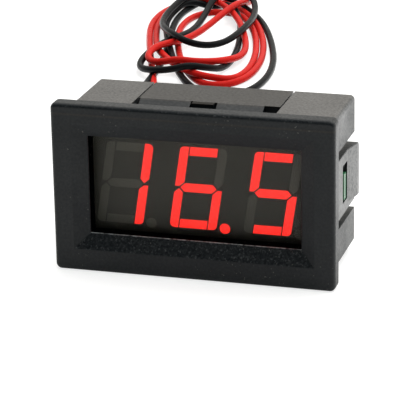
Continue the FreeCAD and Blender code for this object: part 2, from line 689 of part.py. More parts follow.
def build_package(label, across, up, width, height, thickness, stand="0"):
    """A moulded package with chamfered upper edges, on the board's back."""
    body = new_body(label)
    base = sketch_at_depth(body, label + "_outline", BOARD_BACK + " + " + stand)
    rectangle(base, "%s - %s / 2" % (across, width), "%s + %s / 2" % (across, width),
              "%s - %s / 2" % (up, height), "%s + %s / 2" % (up, height))
    block = pad(body, label + "_block", base, thickness, backwards=True)
    doc.recompute()
    back = max(face.CenterOfMass.y for face in block.Shape.Faces)
    names = ["Edge%d" % number for number, edge in enumerate(block.Shape.Edges, start=1)
             if near(edge.BoundBox.YMin, back)]
    chamfer = body.newObject("PartDesign::Chamfer", label + "_chamfer")
    chamfer.Base = (block, names)
    chamfer.setExpression("Size", tied("chip_chamfer"))
    return body


def leg_profile(side):
    """A gull-wing leg from the package's side down to the board, seen along X."""
    edge = mm(CHIP_Z) + side * mm("chip_height") / 2
    exit_y = BOARD_BACK_Y + mm("chip_stand") + mm("chip_thickness") / 2
    metal = mm("leg_thickness")
    reach = mm("leg_reach")
    bend = mm("leg_shoulder")
    foot = bend + mm("leg_slope")
    path = ((0, exit_y), (bend, exit_y), (foot, BOARD_BACK_Y + metal),
            (reach, BOARD_BACK_Y + metal), (reach, BOARD_BACK_Y), (foot - metal, BOARD_BACK_Y),
            (bend - metal, exit_y - metal), (0, exit_y - metal))
    return [FreeCAD.Vector(0, y, edge + side * out) for out, y in path]


def build_legs():
    legs = []
    width = mm("leg_width")
    for side in (-1, 1):
        face = Part.Face(Part.makePolygon(leg_profile(side) + leg_profile(side)[:1]))
        for number in range(int(mm("leg_count"))):
            across = mm(CHIP_X) + (number - (mm("leg_count") - 1) / 2) * mm("leg_pitch")
            leg = face.extrude(FreeCAD.Vector(width, 0, 0))
            leg.translate(FreeCAD.Vector(across - width / 2, 0, 0))
            legs.append(leg)
    return add_shape("controller_legs", Part.makeCompound(legs))


def build_power_tabs():
    """Soldered tabs of the regulator, the diode and the tantalum capacitor."""
    metal = mm("leg_thickness")
    reach = mm("leg_reach") / 2
    boxes = []

    def tab(left, low, width, height):
        corner = FreeCAD.Vector(left, BOARD_BACK_Y, low)
        boxes.append(Part.makeBox(width, metal, height, corner))

    for name, x, z in (("diode", DIODE_X, DIODE_Z), ("tantalum", TANTALUM_X, TANTALUM_Z)):
        for side in (-1, 1):
            edge = mm(x) + side * mm(name + "_width") / 2
            left = edge if side > 0 else edge - reach
            tab(left, mm(z) - mm(name + "_height") / 4, reach, mm(name + "_height") / 2)
    foot = mm(REGULATOR_Z) - mm("regulator_height") / 2 - reach
    for step in (-1, 0, 1):
        tab(mm(REGULATOR_X) + step * mm("regulator_width") / 3 - metal, foot, 2 * metal, reach)
    tab(mm(REGULATOR_X) - mm("regulator_width") / 4, mm(REGULATOR_Z) + mm("regulator_height") / 2,
        mm("regulator_width") / 2, reach)
    return add_shape("power_tabs", Part.makeCompound(boxes))


def resistor_places():
    segments = 8
    for number in range(segments):
        across = (number - (segments - 1) / 2) * mm("resistor_pitch")
        yield mm(CHIP_X) + across, DISPLAY_MID_Z - mm("resistor_drop")
    for step in (-1, 0, 1):
        yield mm(TRIMMER_X) + step * mm("divider_pitch"), mm(TRIMMER_Z) - mm("divider_drop")


def capacitor_places():
    yield mm(REGULATOR_X) - mm("filter_cap_aside"), mm(REGULATOR_Z) - mm("filter_cap_drop")
    yield mm(REGULATOR_X) + mm("output_cap_aside"), mm(REGULATOR_Z) + mm("output_cap_rise")
    yield mm(CHIP_X) + mm("supply_cap_aside"), mm(CHIP_Z) + mm("supply_cap_rise")


def chip_part(x, z, thickness):
    """A chip's body and its two soldered ends, one above the other."""
    wide = mm("chip_part_wide")
    long = mm("chip_part_long")
    end = mm("chip_end")
    left = x - wide / 2
    body = Part.makeBox(wide, thickness, long, FreeCAD.Vector(left, BOARD_BACK_Y, z - long / 2))
    ends = [Part.makeBox(wide, thickness, end, FreeCAD.Vector(left, BOARD_BACK_Y, low))
            for low in (z - long / 2 - end, z + long / 2)]
    return body, ends


def build_chip_parts():
    groups = (("chip_resistors", resistor_places(), "resistor_thickness"),
              ("ceramic_capacitors", capacitor_places(), "capacitor_thickness"))
    pieces = []
    all_ends = []
    for label, places, thickness in groups:
        bodies = []
        for x, z in places:
            body, ends = chip_part(x, z, mm(thickness))
            bodies.append(body)
            all_ends.extend(ends)
        pieces.append(add_shape(label, Part.makeCompound(bodies)))
    pieces.append(add_shape("chip_terminals", Part.makeCompound(all_ends)))
    return pieces


# Calibration trimmer, whose rotor turns about Y

def build_trimmer_base():
    body = new_body("trimmer_base")
    block = sketch_at_depth(body, "trimmer_outline", BOARD_BACK)
    rectangle(block, TRIMMER_X + " - trimmer_side / 2", TRIMMER_X + " + trimmer_side / 2",
              TRIMMER_Z + " - trimmer_side / 2", TRIMMER_Z + " + trimmer_side / 2")
    pad(body, "trimmer_block", block, "trimmer_thickness", backwards=True)
    well = sketch_at_depth(body, "well_outline", BOARD_BACK + " + trimmer_thickness")
    circle(well, TRIMMER_X, TRIMMER_Z, "trimmer_well")
    pocket(body, "well", well, "trimmer_well_depth", backwards=True)
    bore = sketch_at_depth(body, "bore_outline", BOARD_BACK + " + trimmer_thickness")
    circle(bore, TRIMMER_X, TRIMMER_Z, "rotor_pin + rotor_clear / 2")
    pocket(body, "bore", bore, "trimmer_thickness", backwards=True)
    return body


def build_trimmer_rotor():
    body = new_body("trimmer_rotor")
    disc = sketch_at_depth(body, "rotor_outline", BOARD_BACK + " + trimmer_thickness + rotor_stand")
    circle(disc, TRIMMER_X, TRIMMER_Z, "trimmer_well - rotor_clear")
    pad(body, "rotor_disc", disc, "rotor_stand + trimmer_well_depth - rotor_clear")
    stem = sketch_at_depth(body, "stem_outline", BOARD_BACK + " + trimmer_thickness")
    circle(stem, TRIMMER_X, TRIMMER_Z, "rotor_pin")
    pad(body, "rotor_stem", stem, "trimmer_thickness - rotor_clear")
    slots = sketch_at_depth(body, "slot_outline", BOARD_BACK + " + trimmer_thickness + rotor_stand")
    long = "(trimmer_well - rotor_clear - rotor_slot_rim)"
    wide = "rotor_slot / 2"
    outline(slots, tuple((TRIMMER_X + " + (%s)" % x, TRIMMER_Z + " + (%s)" % z) for x, z in (
        (wide, wide), (long, wide), (long, "-" + wide), (wide, "-" + wide), (wide, "-" + long),
        ("-" + wide, "-" + long), ("-" + wide, "-" + wide), ("-" + long, "-" + wide),
        ("-" + long, wide), ("-" + wide, wide), ("-" + wide, long), (wide, long))))
    pocket(body, "driver_slot", slots, "rotor_slot_depth", backwards=True)
    return body


# Leads: tubes from their pads to the coil, the coil's outer shape and the tinned ends
# A route's points are counted from the wire's end at its pad, their height from the floor

RED_ROUTE = (
    (0.0, 6.4, 8.0),
    (-0.9, 14.8, 4.9),
    (-3.2, 25.8, 1.0),
    (-8.4, 39.0, 0.76),
    (-15.8, 52.8, 0.76),
    (-21.2, 67.0, 0.76),
    (-23.2, 78.8, 0.76),
)
BLACK_ROUTE = (
    (0.0, 6.8, 8.0),
    (-1.2, 15.2, 4.7),
    (-4.4, 26.6, 1.0),
    (-9.8, 39.8, 0.76),
    (-15.0, 54.2, 0.76),
    (-21.2, 67.8, 0.76),
    (-23.4, 80.6, 0.76),
)


def cord_path(points):
    """Straight runs joined by tangent arcs, each as large as its two runs allow."""
    edges = []
    radii = []
    place = points[0]
    for i in range(1, len(points) - 1):
        before, corner, after = points[i - 1:i + 2]
        into = (corner - before).normalize()
        out = (after - corner).normalize()
        reach = 0.45 * min((corner - before).Length, (after - corner).Length)
        turn = into.getAngle(out)
        radius = reach / math.tan(turn / 2)
        first = corner - into * reach
        last = corner + out * reach
        inward = (out - into).normalize()
        middle = corner + inward * (radius / math.cos(turn / 2) - radius)
        edges.append(Part.LineSegment(place, first).toShape())
        edges.append(Part.Arc(first, middle, last).toShape())
        radii.append(round(radius, 1))
        place = last
    edges.append(Part.LineSegment(place, points[-1]).toShape())
    return Part.Wire(edges), radii


def coil_point(along, across, height):
    """A point in the coil's own frame: along its long axis, across it and above the floor."""
    turn = math.radians(mm("coil_turn"))
    return FreeCAD.Vector(
        COIL_X - along * math.sin(turn) + across * math.cos(turn),
        COIL_Y + along * math.cos(turn) + across * math.sin(turn),
        height)


def build_coil():
    """The outer shape of the loose coil of both wires: an oval with round ends."""
    half = mm("coil_half_width")
    straight = mm("coil_half_length") - half
    corners = [coil_point(along, across, 0) for along, across in
               ((-straight, half), (straight, half), (straight, -half), (-straight, -half))]
    far = coil_point(mm("coil_half_length"), 0, 0)
    close = coil_point(-mm("coil_half_length"), 0, 0)
    loop = Part.Wire([
        Part.LineSegment(corners[0], corners[1]).toShape(),
        Part.Arc(corners[1], far, corners[2]).toShape(),
        Part.LineSegment(corners[2], corners[3]).toShape(),
        Part.Arc(corners[3], close, corners[0]).toShape()])
    slab = Part.Face(loop).extrude(FreeCAD.Vector(0, 0, mm("coil_height")))
    upper = [edge for edge in slab.Edges if near(edge.BoundBox.ZMin, mm("coil_height"))]
    return add_shape("lead_coil", slab.makeFillet(mm("coil_round"), upper))


def coil_rim(across, radius, end):
    """How far along its axis the coil reaches beside a wire, at one end."""
    half = mm("coil_half_width")
    inner = abs(across) - radius
    return end * (mm("coil_half_length") - half + math.sqrt(half ** 2 - inner ** 2) + mm("coil_clear"))


def build_lead(label, pad_x, route, across):
    """A wire's tube from the solder at its pad to the near rim of the coil."""
    radius = mm("lead_diameter") / 2
    stop = coil_point(coil_rim(mm(across), radius, -1), mm(across), route[-1][2])
    start = FreeCAD.Vector(mm(pad_x), BOARD_BACK_Y + mm("pad_solder_height"), LEAD_PAD_Z)
    points = [start] + [FreeCAD.Vector(start.x + x, start.y + y, z) for x, y, z in route] + [stop]
    path, radii = cord_path(points)
    ring = Part.Wire(Part.makeCircle(radius, start, points[1] - start))
    tube = path.makePipeShell([ring], True, False)
    due = math.pi * radius ** 2 * path.Length
    print(label, "length", round(path.Length, 1), "radii", radii, "volume share", round(tube.Volume / due, 4))
    return add_shape(label, tube)


def build_tip(label, across):
    radius = mm("tip_diameter") / 2
    height = mm("lead_diameter") / 2
    rim = coil_rim(across, radius, 1)
    start = coil_point(rim, across, height)
    along = coil_point(rim + 1, across, height) - start
    return add_shape(label, Part.makeCylinder(radius, mm("tip_length"), start, along))


def build_pad_solder(label, pad_x):
    foot = FreeCAD.Vector(mm(pad_x), BOARD_BACK_Y, LEAD_PAD_Z)
    cone = Part.makeCone(mm("pad_solder_radius"), mm("pad_solder_neck"),
                         mm("pad_solder_height"), foot, FreeCAD.Vector(0, 1, 0))
    return add_shape(label, cone)


# The whole meter

pieces = [build_housing(), build_filter(), build_board()]
digits = build_digits()
pieces += digits
pieces += [build_display_case(digits), build_potting(), build_pins(), build_pin_solder()]
pieces.append(build_package("microcontroller", CHIP_X, CHIP_Z, "chip_length", "chip_height",
                            "chip_thickness", "chip_stand"))
pieces.append(build_package("voltage_regulator", REGULATOR_X, REGULATOR_Z, "regulator_width",
                            "regulator_height", "regulator_thickness"))
pieces.append(build_package("protection_diode", DIODE_X, DIODE_Z, "diode_width", "diode_height",
                            "diode_thickness"))
pieces.append(build_package("input_capacitor", TANTALUM_X, TANTALUM_Z, "tantalum_width",
                            "tantalum_height", "tantalum_thickness"))
pieces += [build_legs(), build_power_tabs()]
pieces += build_chip_parts()
pieces += [build_trimmer_base(), build_trimmer_rotor()]
pieces.append(build_pad_solder("red_lead_solder", RED_PAD_X))
pieces.append(build_pad_solder("black_lead_solder", BLACK_PAD_X))
pieces.append(build_coil())
pieces.append(build_lead("red_lead", RED_PAD_X, RED_ROUTE, "red_across"))
pieces.append(build_lead("black_lead", BLACK_PAD_X, BLACK_ROUTE, "black_across"))
pieces.append(build_tip("red_lead_tip", mm("red_tip_across")))
pieces.append(build_tip("black_lead_tip", mm("black_tip_across")))

doc.recompute()
for item in doc.Objects:
    if "Invalid" in item.State or "Error" in item.State:
        raise RuntimeError("failed object: %s %s" % (item.Name, item.State))
for piece in pieces:
    if piece.Shape.isNull() or not piece.Shape.isValid():
        raise RuntimeError("bad shape: " + piece.Label)

os.makedirs("parts", exist_ok=True)
for piece in pieces:
    piece.Shape.exportStep("parts/%s.step" % piece.Label)
    box = piece.Shape.BoundBox
    print("%-20s solids %2d volume %9.2f  x %.2f..%.2f  y %.2f..%.2f  z %.2f..%.2f" % (
        piece.Label, len(piece.Shape.Solids), piece.Shape.Volume,
        box.XMin, box.XMax, box.YMin, box.YMax, box.ZMin, box.ZMax))
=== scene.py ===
# Small LED voltmeter with a loose coil of two wires behind it. Metres, Z up, the display faces -Y.

import math

import bpy
import numpy as np
from mathutils import Matrix, Vector


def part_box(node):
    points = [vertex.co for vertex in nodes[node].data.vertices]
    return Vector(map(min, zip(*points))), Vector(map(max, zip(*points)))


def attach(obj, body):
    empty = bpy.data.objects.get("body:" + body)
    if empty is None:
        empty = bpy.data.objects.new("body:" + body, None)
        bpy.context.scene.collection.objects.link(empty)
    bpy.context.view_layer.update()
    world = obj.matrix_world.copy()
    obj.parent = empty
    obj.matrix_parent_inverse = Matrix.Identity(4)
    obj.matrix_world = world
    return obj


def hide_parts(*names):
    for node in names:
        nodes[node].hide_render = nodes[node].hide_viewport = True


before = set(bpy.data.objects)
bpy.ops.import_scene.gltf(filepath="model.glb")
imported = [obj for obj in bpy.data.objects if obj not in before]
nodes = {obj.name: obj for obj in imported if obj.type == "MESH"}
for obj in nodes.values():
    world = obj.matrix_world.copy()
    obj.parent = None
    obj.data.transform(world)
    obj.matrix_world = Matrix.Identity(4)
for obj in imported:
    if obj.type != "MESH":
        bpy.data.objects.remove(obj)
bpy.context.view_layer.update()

MM = 0.001


# Camera: turned to the meter's right side and looking down on it

CAMERA_AZIMUTH = 16.4335
CAMERA_ELEVATION = 19.1716
CAMERA_ROLL = -1.0798
CAMERA_DISTANCE = 381.18 * MM
CAMERA_AIM = Vector((1.4628, -10.5, 14.1793)) * MM
CAMERA_LENS = 210.69
SENSOR_WIDTH = 36.0


def add_camera():
    turn = math.radians(CAMERA_AZIMUTH)
    rise = math.radians(CAMERA_ELEVATION)
    roll = math.radians(CAMERA_ROLL)
    back = Vector((math.sin(turn) * math.cos(rise), -math.cos(turn) * math.cos(rise), math.sin(rise)))
    level = Vector((math.cos(turn), math.sin(turn), 0))
    upright = back.cross(level)
    right = level * math.cos(roll) + upright * math.sin(roll)
    up = upright * math.cos(roll) - level * math.sin(roll)
    place = CAMERA_AIM + back * CAMERA_DISTANCE
    camera = bpy.data.objects.new("camera", bpy.data.cameras.new("camera"))
    camera.matrix_world = Matrix((
        (right.x, up.x, back.x, place.x),
        (right.y, up.y, back.y, place.y),
        (right.z, up.z, back.z, place.z),
        (0, 0, 0, 1)))
    camera.data.lens = CAMERA_LENS
    camera.data.sensor_width = SENSOR_WIDTH
    bpy.context.scene.collection.objects.link(camera)
    bpy.context.scene.camera = camera


# Wires: each leaves its pad, comes down to the floor and is wound into a loose flat coil

LEAD_DIAMETER = 1.5 * MM
COIL_MIDDLE = Vector((-38.9, 133.6)) * MM
COIL_TURN = math.radians(16.4)

# Control points in a quarter turn, how full it is (1 is an ellipse, less is fuller), and the steps
# from one control point to the next.
POINTS_PER_QUARTER = 5
FULLNESS = 0.93
FINE_STEPS = 6

# A route's points are counted from the wire's end at its pad, their height from the floor, in mm.
RED_START = Vector((-13.0, 5.8, 8.0)) * MM
RED_ROUTE = (
    (0.0, 6.4, 8.0),
    (-0.9, 14.8, 4.9),
    (-3.2, 25.8, 1.0),
    (-8.4, 39.0, 0.76),
    (-15.8, 52.8, 0.76),
    (-21.2, 67.0, 0.76),
    (-23.2, 78.8, 0.76),
)
BLACK_START = Vector((-17.0, 5.8, 8.0)) * MM
BLACK_ROUTE = (
    (0.0, 6.8, 8.0),
    (-1.2, 15.2, 4.7),
    (-4.4, 26.6, 1.0),
    (-9.8, 39.8, 0.76),
    (-15.0, 54.2, 0.76),
    (-21.2, 67.8, 0.76),
    (-23.4, 80.6, 0.76),
)

# Where each quarter turn of a wire ends in mm, along the coil's axis and across it: the wire comes
# from the front and goes by turns to its furthest left, back, right and front.
RED_TURNS = (
    (-60.0, -7.0), (2.3, -12.5), (31.9, 0.3), (-3.6, 12.4), (-37.8, 1.5), (-0.3, -6.2), (22.7, 2.4),
    (-4.1, 11.7), (-36.8, 2.6), (6.2, -11.0), (29.1, -0.5), (-6.0, 9.1), (-28.9, -2.7), (-20.0, -13.2),
)
BLACK_TURNS = (
    (-60.0, -32.0), (0.9, -8.1), (33.5, 3.0), (-14.5, 14.4), (-46.2, 2.3), (6.5, -10.1), (29.4, 0.4),
    (5.8, 7.9), (-34.0, -4.1), (-24.0, -14.0),
)

# The first points of the turns lie beside the end of the wire's route and are left out.
WOUND_FROM = 3

# The last stretch of a wire to its tinned end, in the same measures as the turns.
RED_TAIL = (
    (-15.5, -12.0), (-11.0, -9.0), (-6.5, -5.2), (-1.0, -2.0), (5.0, 0.8), (11.5, 3.8), (18.0, 6.8),
    (24.5, 9.2), (30.5, 10.6), (36.6, 11.0),
)
BLACK_TAIL = (
    (-18.5, -12.6), (-12.0, -9.4), (-6.0, -6.0), (0.5, -3.6), (7.5, -1.9), (14.0, -0.6), (20.0, 0.6),
    (25.5, 2.0), (29.5, 4.4), (30.5, 7.8), (27.5, 10.2), (21.5, 11.0), (14.5, 10.8), (7.5, 10.0),
    (0.5, 8.6), (-6.0, 6.4), (-11.5, 3.4), (-14.6, -0.4), (-14.0, -4.4), (-10.0, -7.4), (-4.0, -9.2),
    (3.0, -10.0), (10.0, -9.4), (17.0, -7.6), (23.5, -4.8), (29.5, -1.4), (35.0, 1.8), (40.75, 4.0),
)

# How many steps later than the black wire each wire is laid, and how high what is laid last starts.
LATER = (-60.5, 0.0)
START_STACK = 6.0 * MM

# Strands are pushed apart to this distance, and a little upwards. Strands of the same wire that are
# fewer control points apart don't push. The last number keeps a point that few strands touch calm.
LIFT = LEAD_DIAMETER * 1.03
PUSH_UP = 0.3 * MM
NEIGHBOURS = 5
LEAST_WEIGHT = 0.3

# The control points at both ends of a wire are held. Between them it stays even and stiff, and sinks.
HELD_FIRST = 8
HELD_LAST = 2
SETTLE_ROUNDS = 160
EVENNESS = 0.08
STIFFNESS = 0.05
SINKING = 0.06 * MM


def coil_place(along, across):
    """A point of the floor in the coil's own frame, along its long axis and across it."""
    return Vector((
        COIL_MIDDLE.x + (across * math.cos(COIL_TURN) - along * math.sin(COIL_TURN)) * MM,
        COIL_MIDDLE.y + (across * math.sin(COIL_TURN) + along * math.cos(COIL_TURN)) * MM))


def coil_plan(turns, tail):
    """The wound part of a wire seen from above: quarters of ellipses, then the tail."""
    plan = []
    for number in range(len(turns) - 1):
        (from_along, from_across), (to_along, to_across) = turns[number:number + 2]
        for step in range(POINTS_PER_QUARTER):
            angle = math.pi / 2 * step / POINTS_PER_QUARTER
            gone, left = math.sin(angle) ** FULLNESS, math.cos(angle) ** FULLNESS
            if number % 2:
                along = from_along + (to_along - from_along) * gone
                across = to_across + (from_across - to_across) * left
            else:
                along = to_along + (from_along - to_along) * left
                across = from_across + (to_across - from_across) * gone
            plan.append(coil_place(along, across))
    plan.append(coil_place(*turns[-1]))
    return plan[WOUND_FROM:] + [coil_place(*point) for point in tail]


def wire_routes():
    """The control points of both wires, from the pad to the tinned end, before they settle."""
    routes = []
    for start, route, turns, tail in ((RED_START, RED_ROUTE, RED_TURNS, RED_TAIL),
                                      (BLACK_START, BLACK_ROUTE, BLACK_TURNS, BLACK_TAIL)):
        points = [start] + [Vector((start.x + x * MM, start.y + y * MM, z * MM)) for x, y, z in route]
        points += [Vector((place.x, place.y, LEAD_DIAMETER / 2)) for place in coil_plan(turns, tail)]
        routes.append(points)
    return routes


def spline_shares(count):
    """How much of each control point goes into each short step of a quadratic spline."""
    shares = np.zeros(((count - 2) * FINE_STEPS, count))
    for row in range(len(shares)):
        first, t = row // FINE_STEPS, row % FINE_STEPS / FINE_STEPS
        shares[row, first:first + 3] = ((1 - t) ** 2 / 2, (1 + 2 * t - 2 * t * t) / 2, t * t / 2)
    return shares


def pushes(points, shares, pairs):
    """How far each control point moves so that strands that are too near come apart."""
    strands = shares @ points
    apart = strands[None] - strands[:, None]
    distance = np.linalg.norm(apart, axis=2)
    lower, upper = np.nonzero(pairs & (distance < LIFT))
    push = apart[lower, upper] + (0, 0, PUSH_UP)
    push *= ((LIFT - distance[lower, upper]) / np.linalg.norm(push, axis=1))[:, None]
    moves = np.zeros_like(strands)
    np.add.at(moves, upper, push)
    np.add.at(moves, lower, -push)
    touched = np.bincount(np.concatenate((upper, lower)), minlength=len(strands))
    moves /= np.maximum(touched, 1)[:, None]
    weight = shares.T @ (touched > 0)
    return (shares.T @ moves) / np.maximum(weight, LEAST_WEIGHT * FINE_STEPS)[:, None]


def settled(routes):
    """Lays the two wires down: what is wound later rests on what lies there and pushes it aside."""
    counts = [len(route) for route in routes]
    points = np.array([tuple(place) for route in routes for place in route])
    blocks = [spline_shares(count) for count in counts]
    shares = np.zeros((sum(map(len, blocks)), len(points)))
    shares[:len(blocks[0]), :counts[0]] = blocks[0]
    shares[len(blocks[0]):, counts[0]:] = blocks[1]

    step = np.concatenate([np.arange(len(block)) for block in blocks])
    wire = np.repeat((0, 1), [len(block) for block in blocks])
    order = step + np.array(LATER)[wire]
    near = abs(step[:, None] - step[None]) < NEIGHBOURS * FINE_STEPS
    pairs = (order[None] > order[:, None]) & ~((wire[:, None] == wire[None]) & near)

    free = np.ones((len(points), 1))
    for first, count in ((0, counts[0]), (counts[0], counts[1])):
        free[first:first + HELD_FIRST] = 0
        free[first + count - HELD_LAST:first + count] = 0
    laid = shares.T @ order / shares.sum(axis=0) / order.max()
    points[:, 2:] += free * (laid * START_STACK)[:, None]
    planned = points[:, :2].copy()
    for turn in range(SETTLE_ROUNDS):
        points += free * pushes(points, shares, pairs)
        strayed = points[:, :2] - planned
        points[1:-1, :2] += free[1:-1] * EVENNESS * ((strayed[:-2] + strayed[2:]) / 2 - strayed[1:-1])
        calm = 1 - turn / SETTLE_ROUNDS
        middle = (points[:-2, 2:] + points[2:, 2:]) / 2
        points[1:-1, 2:] += free[1:-1] * (STIFFNESS * (middle - points[1:-1, 2:]) - SINKING * calm)
        points[:, 2] = np.maximum(points[:, 2], LEAD_DIAMETER / 2)
    return [[Vector(place) for place in part] for part in np.split(points, [counts[0]])]


def add_wire(name, points):
    """A tube on a smooth line with these control points, and the points of that line."""
    curve = bpy.data.curves.new(name, "CURVE")
    curve.dimensions = "3D"
    curve.resolution_u = FINE_STEPS
    spline = curve.splines.new("NURBS")
    spline.points.add(len(points) - 1)
    for point, place in zip(spline.points, points):
        point.co = (place.x, place.y, place.z, 1)
    spline.order_u = 3
    spline.use_endpoint_u = True
    route = bpy.data.objects.new(name + "_route", curve)
    line = [tuple(vertex.co) for vertex in bpy.data.meshes.new_from_object(route).vertices]
    curve.bevel_depth = LEAD_DIAMETER / 2
    curve.bevel_resolution = 5
    curve.use_fill_caps = True
    wire = bpy.data.objects.new(name, bpy.data.meshes.new_from_object(route))
    bpy.data.objects.remove(route)
    bpy.context.scene.collection.objects.link(wire)
    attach(wire, "meter")
    return wire, line


def add_wires():
    names = ("red_wire", "black_wire")
    for name, start, points in zip(names, (RED_START, BLACK_START), settled(wire_routes())):
        wire, line = add_wire(name, points)
        lead = name.replace("wire", "lead")
        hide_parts(lead, "lead_coil")


# Materials: every finish is made from nodes, in the object's own coordinates, in metres

class Tree:
    """Short ways to add nodes to a tree. A value is a socket or a plain number."""

    def __init__(self, tree):
        self.tree = tree

    def add(self, kind, **settings):
        node = self.tree.nodes.new(kind)
        for key, value in settings.items():
            setattr(node, key, value)
        return node

    def join(self, source, target):
        if isinstance(source, bpy.types.NodeSocket):
            self.tree.links.new(source, target)
        else:
            target.default_value = source

    def part(self, vector, name):
        """The X, Y or Z of a vector."""
        node = self.add("ShaderNodeSeparateXYZ")
        self.join(vector, node.inputs[0])
        return node.outputs[name]

    def work_out(self, operation, one, two=0.0):
        node = self.add("ShaderNodeMath", operation=operation)
        self.join(one, node.inputs[0])
        self.join(two, node.inputs[1])
        return node.outputs[0]

    def times(self, value, *others):
        for other in others:
            value = self.work_out("MULTIPLY", value, other)
        return value

    def plus(self, value, *others):
        for other in others:
            value = self.work_out("ADD", value, other)
        return value

    def ramp(self, value, low, high, start=0.0, stop=1.0, **settings):
        """Maps the value from low..high to start..stop and holds it there beyond."""
        node = self.add("ShaderNodeMapRange", **settings)
        self.join(value, node.inputs["Value"])
        for name, number in (("From Min", low), ("From Max", high), ("To Min", start), ("To Max", stop)):
            node.inputs[name].default_value = number
        return node.outputs["Result"]

    def mix(self, share, one, two):
        """Two colours, or the sockets of two, mixed by a share from 0 to 1."""
        node = self.add("ShaderNodeMix", data_type="RGBA")
        self.join(share, node.inputs[0])
        for socket, colour in ((node.inputs[6], one), (node.inputs[7], two)):
            if isinstance(colour, bpy.types.NodeSocket):
                self.join(colour, socket)
            else:
                socket.default_value = (*colour, 1)
        return node.outputs[2]


class Finish(Tree):
    """A Principled material. Its masks are 1 where they hold and 0 elsewhere."""

    def __init__(self, name, colour, roughness, metallic=0.0, ior=1.5):
        self.material = bpy.data.materials.new(name)
        self.material.use_nodes = True
        super().__init__(self.material.node_tree)
        self.shader = self.tree.nodes["Principled BSDF"]
        self.shader.inputs["Base Color"].default_value = (*colour, 1)
        self.shader.inputs["Roughness"].default_value = roughness
        self.shader.inputs["Metallic"].default_value = metallic
        self.shader.inputs["IOR"].default_value = ior
        self.place = self.add("ShaderNodeTexCoord").outputs["Object"]

    def set(self, **values):
        for name, value in values.items():
            self.join(value, self.shader.inputs[name.replace("_", " ")])

    def noise(self, size, detail=2.0, stretch=(1, 1, 1)):
        """Noise from 0 to 1 whose grains are about this many metres across."""
        node = self.add("ShaderNodeTexNoise")
        node.inputs["Scale"].default_value = 1 / size
        node.inputs["Detail"].default_value = detail
        spread = self.add("ShaderNodeVectorMath", operation="MULTIPLY")
        self.join(self.place, spread.inputs[0])
        spread.inputs[1].default_value = stretch
        self.join(spread.outputs[0], node.inputs["Vector"])
        return node.outputs["Fac"]

    def wander(self, size, low, high, detail=2.0):
        """A number that goes from low to high and back in patches of this size."""
        return self.ramp(self.noise(size, detail), 0.3, 0.7, low, high)

    def tones(self, size, one, two, detail=2.0):
        """A colour that goes from one to the other and back in patches of this size."""
        return self.mix(self.noise(size, detail), one, two)

    def axis(self, name):
        return self.part(self.place, name)

    def facing(self, name):
        """How far the surface's true face looks along an axis, from -1 to 1."""
        return self.part(self.add("ShaderNodeNewGeometry").outputs["True Normal"], name)

    def band(self, name, low, high, soft=0.05 * MM):
        """A mask between two places along an axis."""
        value = self.axis(name)
        rise = self.ramp(value, low - soft, low + soft)
        fall = self.ramp(value, high - soft, high + soft, 1.0, 0.0)
        return self.times(rise, fall)

    def by_mask(self, mask, without, within):
        """A number that is one value outside a mask and another inside it."""
        return self.ramp(mask, 0.0, 1.0, without, within)

    def bump(self, height, depth, rounding=0.0):
        """Bump of a real depth in metres, over edges that shade as if rounded by the given radius."""
        node = self.add("ShaderNodeBump")
        self.join(height, node.inputs["Height"])
        node.inputs["Distance"].default_value = depth
        if rounding:
            edge = self.add("ShaderNodeBevel")
            edge.inputs["Radius"].default_value = rounding
            self.join(edge.outputs["Normal"], node.inputs["Normal"])
        self.join(node.outputs["Normal"], self.shader.inputs["Normal"])

    def dress(self, *names):
        for name in names:
            piece = nodes[name] if name in nodes else bpy.data.objects[name]
            piece.data.materials.clear()
            piece.data.materials.append(self.material)


# Places on the housing: the body's upper side and edges below the bezel's top, the window with its
# lip and walls behind the bezel's front, the rim, the flap with its webs and tongue, and the arms.
TOP_TO = 1.6 * MM
TOP_FROM = 1.9 * MM
TOP_EDGES_FROM = 2.6 * MM
WINDOW_HALF = 18.2 * MM
WINDOW_INSET = 3.5 * MM
LIP_FROM = 1.40 * MM
LIP_TO = 1.72 * MM
WINDOW_TO = 4.2 * MM
RIM_DEPTH = 3 * MM
RIM_HEIGHT = 3.4 * MM
FLAP_SIDES = (-12.2 * MM, 12.0 * MM)
FLAP_FRONT = 1.25 * MM
WEB_FRONT = -3.3 * MM
WEB_REAR = 1.2 * MM
TONGUE_SIDES = (-2.9 * MM, 1.1 * MM)
ARM_FRONT = -3.4 * MM
ARM_HEIGHTS = (8.8 * MM, 19.2 * MM)
BEYOND = 1 * MM

# The housing's specular level: plain, on the arms' sides, what is added on the upper side, the
# smooth flap, all sides and the bezel's rim, and the share that is left on webs and tongue.
PLAIN_SHEEN = 0.33
ARM_SHEEN = 1.20
TOP_ADDED = 0.57
FLAP_ADDED = -0.20
SIDE_ADDED = 0.09
RIM_ADDED = -0.09
WEB_SHARE = 0.36
TONGUE_SHARE = 0.10
MOTTLING = 0.42

# The housing's colours, with painted light on the upper side, painted glints on the lower slope, a painted
# highlight on the window's lip and painted shade on the window's walls
PLASTIC = (0.0060, 0.0082, 0.0104)
LIT_WARM_PLASTIC_ON_TOP = (0.0150, 0.0132, 0.0115)
SHADE_IN_WINDOW = (0.0012, 0.0016, 0.0018)
GLINTS = (0.060, 0.064, 0.066)
LIP_HIGHLIGHT = (0.42, 0.45, 0.45)
DUST = (0.10, 0.095, 0.085)


